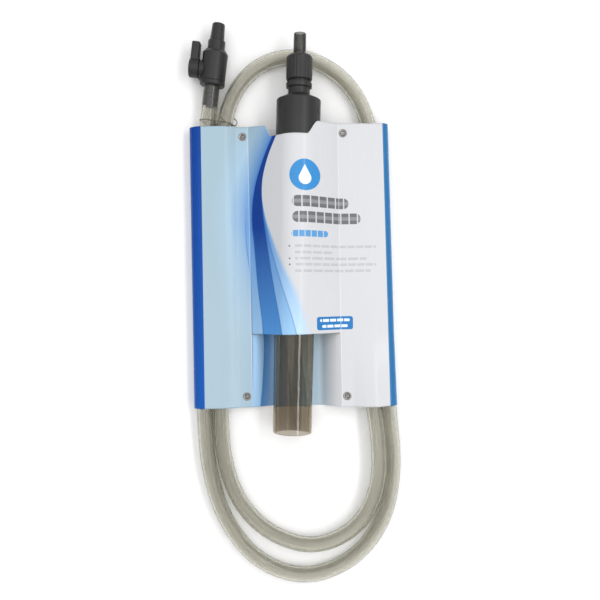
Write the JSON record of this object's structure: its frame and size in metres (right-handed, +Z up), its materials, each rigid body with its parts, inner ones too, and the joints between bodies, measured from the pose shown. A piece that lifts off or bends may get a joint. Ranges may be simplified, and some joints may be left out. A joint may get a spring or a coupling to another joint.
{
  "type": "gravel vacuum siphon",
  "caption": "Smoke-tinted gravel cleaning tube with black head, union nut and check valve, long clear hose with a ball tap, held in a folded printed sleeve.",
  "frame": {"origin": "on the plane of the sleeve's flat rear strips, midway between its four eyelets", "axes": "+X across the sleeve, +Y from the tube's open mouth towards the head, +Z up out of the sleeve's front"},
  "size_m": [0.2149, 0.5836, 0.0519],
  "materials": {
    "printed_sheet": "printed gloss film, pale blue to white with blue waves",
    "sleeve_card": "plain white stiff plastic",
    "eyelet_metal": "nickel plated",
    "smoke_tube": "clear smoke-tinted plastic",
    "smoke_nozzle": "dark smoke-tinted plastic",
    "black_plastic": "satin moulded",
    "white_plastic": "smooth moulded",
    "black_rubber": "smooth",
    "screw_steel": "plain",
    "clear_hose": "flexible translucent vinyl",
    "tie_wire": "thin coated wire"
  },
  "bodies": {
    "root": {"front_sleeve": "printed_sheet", "back_card": "sleeve_card", "eyelets": "eyelet_metal", "siphon_tube": "smoke_tube", "tube_seal": "black_rubber", "head_connector": "black_plastic", "strainer": "black_plastic", "valve_seat": "white_plastic", "ball_cage": "white_plastic", "union_gasket": "black_rubber", "hose_tail": "smoke_nozzle", "tap_inlet": "black_plastic", "tap_body": "black_plastic", "tap_ball_seats": "white_plastic", "stem_o_ring": "black_rubber", "tap_outlet": "black_plastic", "hose": "clear_hose", "wire_tie": "tie_wire"},
    "check_ball": {"check_ball": "white_plastic"},
    "thrust_washer": {"thrust_washer": "white_plastic"},
    "union_nut": {"union_nut": "black_plastic"},
    "lever": {"tap_lever": "black_plastic", "tap_stem": "black_plastic", "tap_ball": "white_plastic", "lever_screw": "screw_steel"}
  },
  "joints": [
    {"name": "lever_turn", "type": "hinge", "parent": "root", "child": "lever", "pos_m": [-0.08049, 0.20463, 0.01345], "axis": [0.9907, -0.1357, 0], "range_deg": [0, 90]},
    {"name": "ball_lift", "type": "slide", "parent": "root", "child": "check_ball", "axis": [0.037, 0.9991, 0.023], "range_m": [0, 0.005]},
    {"name": "nut_turn", "type": "hinge", "parent": "root", "child": "thrust_washer", "pos_m": [0.00864, 0.20564, 0.02988], "axis": [0.037, 0.9991, 0.023], "range_deg": [0, 1440]},
    {"name": "nut_rise", "type": "slide", "parent": "thrust_washer", "child": "union_nut", "axis": [0.037, 0.9991, 0.023], "range_m": [0, 0.012]}
  ],
  "couplings": [
    {"joint": "nut_rise", "follows": "nut_turn", "m_per_rad": 0.00047746}
  ]
}
